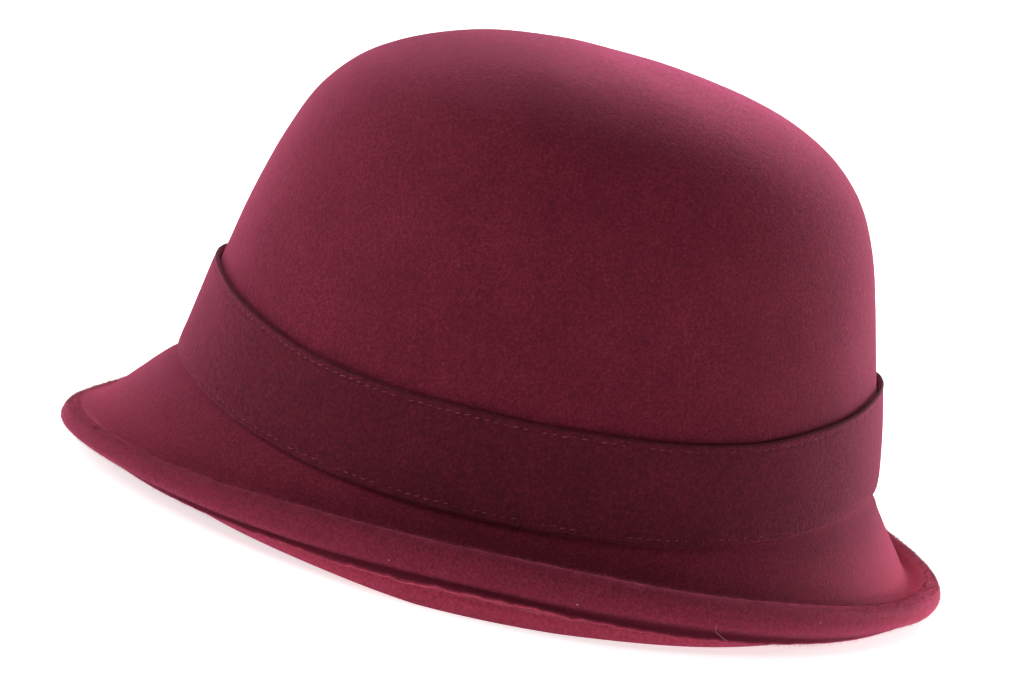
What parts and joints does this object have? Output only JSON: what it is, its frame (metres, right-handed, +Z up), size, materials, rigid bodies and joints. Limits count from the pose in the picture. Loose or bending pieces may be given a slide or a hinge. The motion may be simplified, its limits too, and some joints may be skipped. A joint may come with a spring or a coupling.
{
  "type": "felt cloche hat",
  "caption": "Round-crowned felt cloche hat with a flat self-felt band and a narrow flared brim whose edge is rolled over to the outside.",
  "frame": {"origin": "middle of the hat's footprint on the surface it rests on", "axes": "+Z up through the crown; -Y is the front of the hat and +Y the back; +X is the wearer's left"},
  "size_m": [0.2216, 0.2694, 0.1454],
  "materials": {
    "hood_felt": "brushed wool felt with a soft nap",
    "band_felt": "flat wool felt, topstitched along both edges"
  },
  "bodies": {
    "root": {"hat_body": "hood_felt", "hat_band": "band_felt"}
  },
  "joints": []
}
